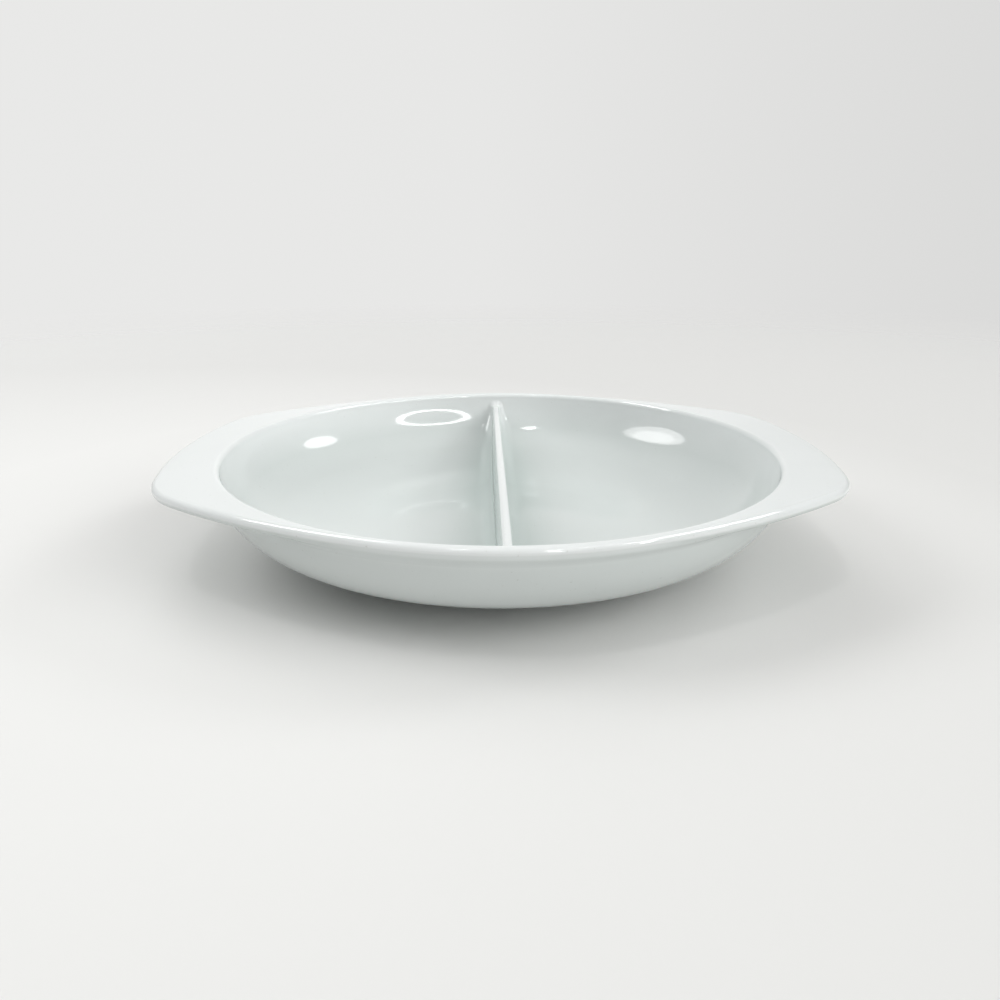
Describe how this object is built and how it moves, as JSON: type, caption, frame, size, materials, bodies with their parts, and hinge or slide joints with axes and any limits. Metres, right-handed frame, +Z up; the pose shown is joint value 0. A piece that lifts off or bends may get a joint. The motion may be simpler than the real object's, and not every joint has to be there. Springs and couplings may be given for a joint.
{
  "type": "divided serving bowl",
  "caption": "Round shallow glazed serving bowl with a low wall across the middle, a flat rim and a broad tab handle at each side.",
  "frame": {"origin": "on the table under the middle of the bowl, at the bottom centre of its box", "axes": "+X from handle to handle towards the right handle, +Y towards the back along the divider, +Z up"},
  "size_m": [0.295, 0.26, 0.045],
  "materials": {
    "well_glaze": "glossy white glaze with a faint blue-green tint",
    "rim_glaze": "glossy white glaze, thinner and whiter on the rim and handles",
    "foot_clay": "bare fired clay on the standing edge"
  },
  "bodies": {
    "root": {"floor_disc": "well_glaze", "bowl_wall": "well_glaze", "rim_band": "rim_glaze", "left_handle": "rim_glaze", "right_handle": "rim_glaze", "divider": "well_glaze", "foot_ring": "foot_clay"}
  },
  "joints": []
}
